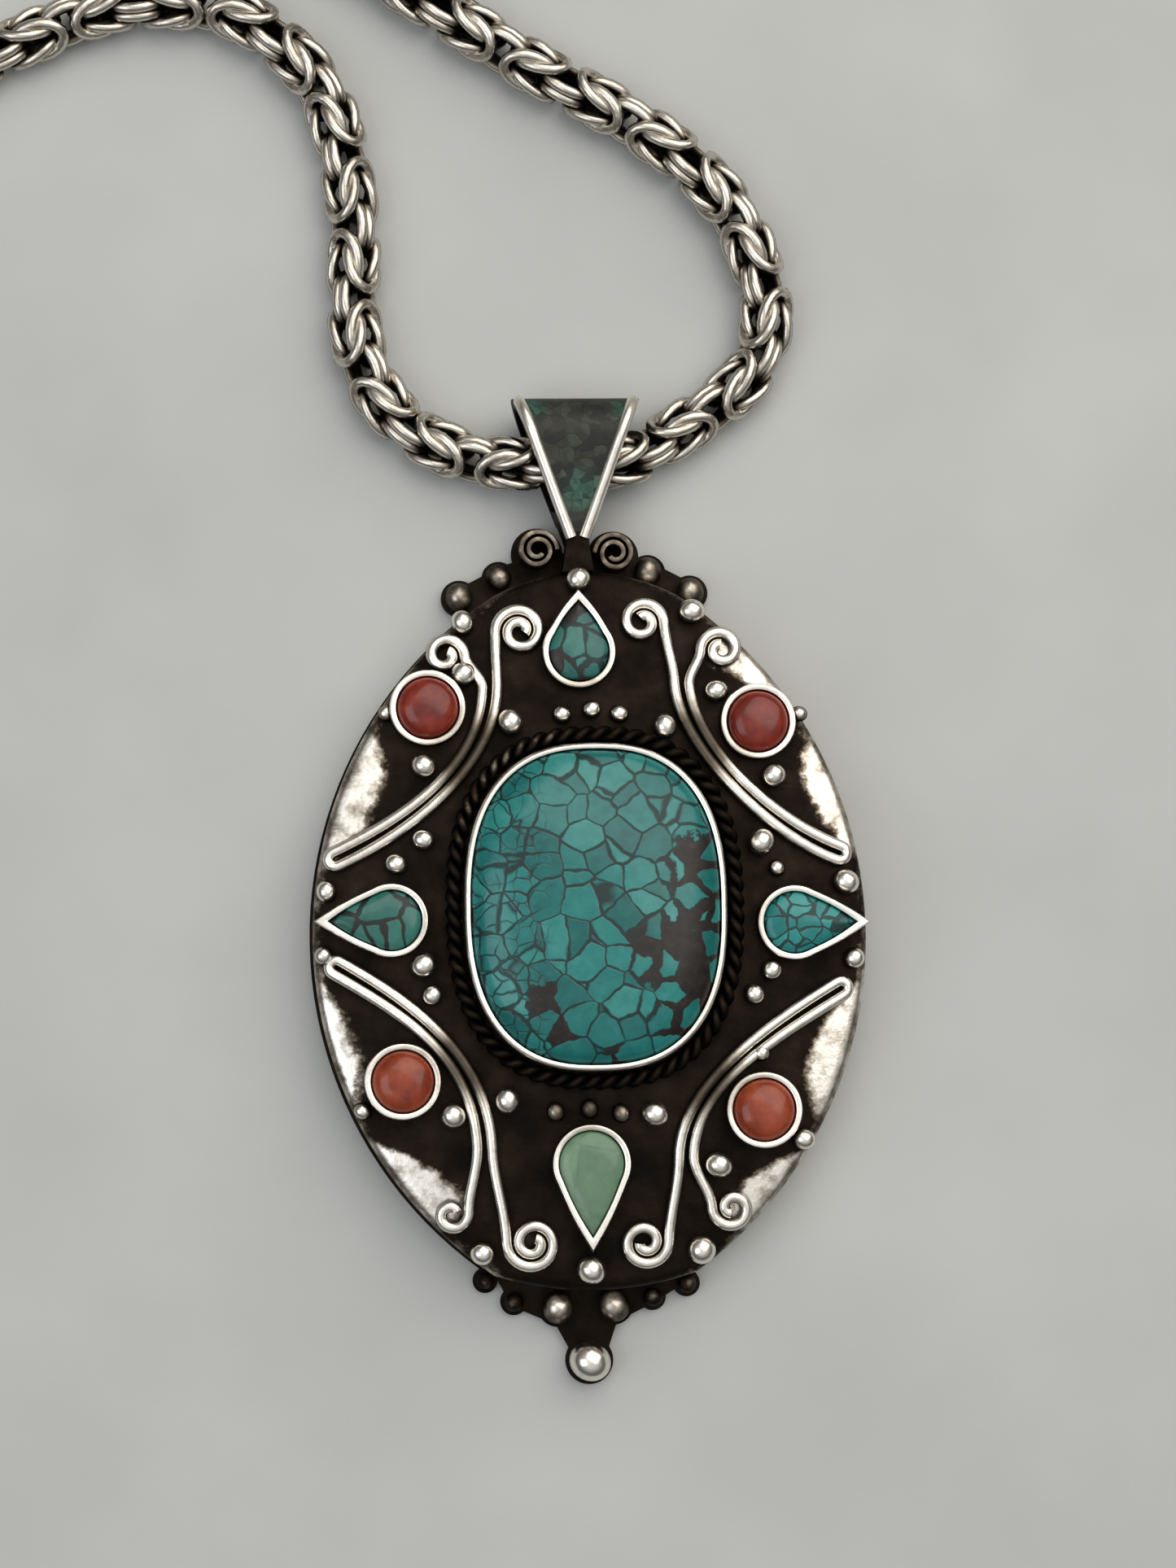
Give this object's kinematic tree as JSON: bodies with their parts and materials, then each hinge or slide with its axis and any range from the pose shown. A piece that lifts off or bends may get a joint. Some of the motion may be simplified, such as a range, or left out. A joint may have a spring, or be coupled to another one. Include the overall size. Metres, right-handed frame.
{
  "type": "stone-set amulet pendant necklace",
  "caption": "Domed silver box pendant set with turquoise and coral, with scroll wires, granules and a chip-inlaid bail, hung on a woven silver chain with a lobster clasp.",
  "frame": {"origin": "on the table under the middle of the pendant's own bounding box, the chain left out", "axes": "+X to the right, +Y along the pendant from its foot ball to its bail, +Z out of the stone-set face, away from the table"},
  "size_m": [0.0945, 0.1822, 0.0114],
  "materials": {
    "turquoise_centre": "polished turquoise, brown matrix web",
    "turquoise_teal": "polished teal turquoise with dark matrix",
    "turquoise_green": "polished dark green turquoise",
    "turquoise_blue": "polished bright turquoise",
    "turquoise_pale": "polished pale green turquoise",
    "coral_dark": "polished dark red coral",
    "coral_bright": "polished orange-red coral",
    "patina_silver": "oxidised silver, rubbed bright on high spots",
    "worn_silver": "worn polished silver",
    "chain_silver": "oxidised silver wire, bright on the outside of each link",
    "setting_pitch": "dark setting pitch under the stone",
    "chip_inlay": "crushed stone chips in dark resin",
    "spring_steel": "spring wire"
  },
  "bodies": {
    "chain": {"chain_left": "chain_silver", "chain_right": "chain_silver", "chain_coil": "chain_silver", "end_cap_left": "chain_silver", "end_cap_right": "chain_silver", "catch_ring": "chain_silver", "jump_ring": "chain_silver", "clasp_body": "chain_silver", "clasp_pin": "chain_silver", "clasp_spring": "spring_steel"},
    "pendant": {"back_plate": "patina_silver", "side_wall": "worn_silver", "front_plate": "patina_silver", "centre_bezel": "worn_silver", "centre_bed": "setting_pitch", "centre_stone": "turquoise_centre", "rope_wire": "patina_silver", "drop_bezel_top": "worn_silver", "drop_bezel_left": "worn_silver", "drop_bezel_right": "worn_silver", "drop_bezel_bottom": "worn_silver", "drop_stone_top": "turquoise_teal", "drop_stone_left": "turquoise_green", "drop_stone_right": "turquoise_blue", "drop_stone_bottom": "turquoise_pale", "coral_bezel_ul": "worn_silver", "coral_bezel_ur": "worn_silver", "coral_bezel_ll": "worn_silver", "coral_bezel_lr": "worn_silver", "coral_stone_ul": "coral_dark", "coral_stone_ur": "coral_dark", "coral_stone_ll": "coral_bright", "coral_stone_lr": "coral_bright", "scroll_wire_ul": "worn_silver", "scroll_wire_ur": "worn_silver", "scroll_wire_ll": "worn_silver", "scroll_wire_lr": "worn_silver", "granules_upper": "worn_silver", "granules_sides": "worn_silver", "granules_lower": "worn_silver", "crown_granules": "worn_silver", "foot_granules": "worn_silver", "crown_scroll_left": "patina_silver", "crown_scroll_right": "patina_silver", "finial_ball": "worn_silver", "bail_strap": "worn_silver", "bail_rim_left": "worn_silver", "bail_rim_right": "worn_silver", "bail_inlay": "chip_inlay"},
    "clasp_gate": {"clasp_lever": "chain_silver"}
  },
  "joints": [
    {"name": "pendant_swing", "type": "hinge", "parent": "chain", "child": "pendant", "pos_m": [0, 0.0364, 0.00315], "axis": [-1, 0, 0], "range_deg": [0, 70]},
    {"name": "clasp_gate_turn", "type": "hinge", "parent": "chain", "child": "clasp_gate", "pos_m": [-0.01499, 0.10688, 0.0023], "axis": [0, 0, -1], "range_deg": [0, 25], "stiffness_Nm_per_rad": 0.0004, "springref_deg": -11.46}
  ]
}
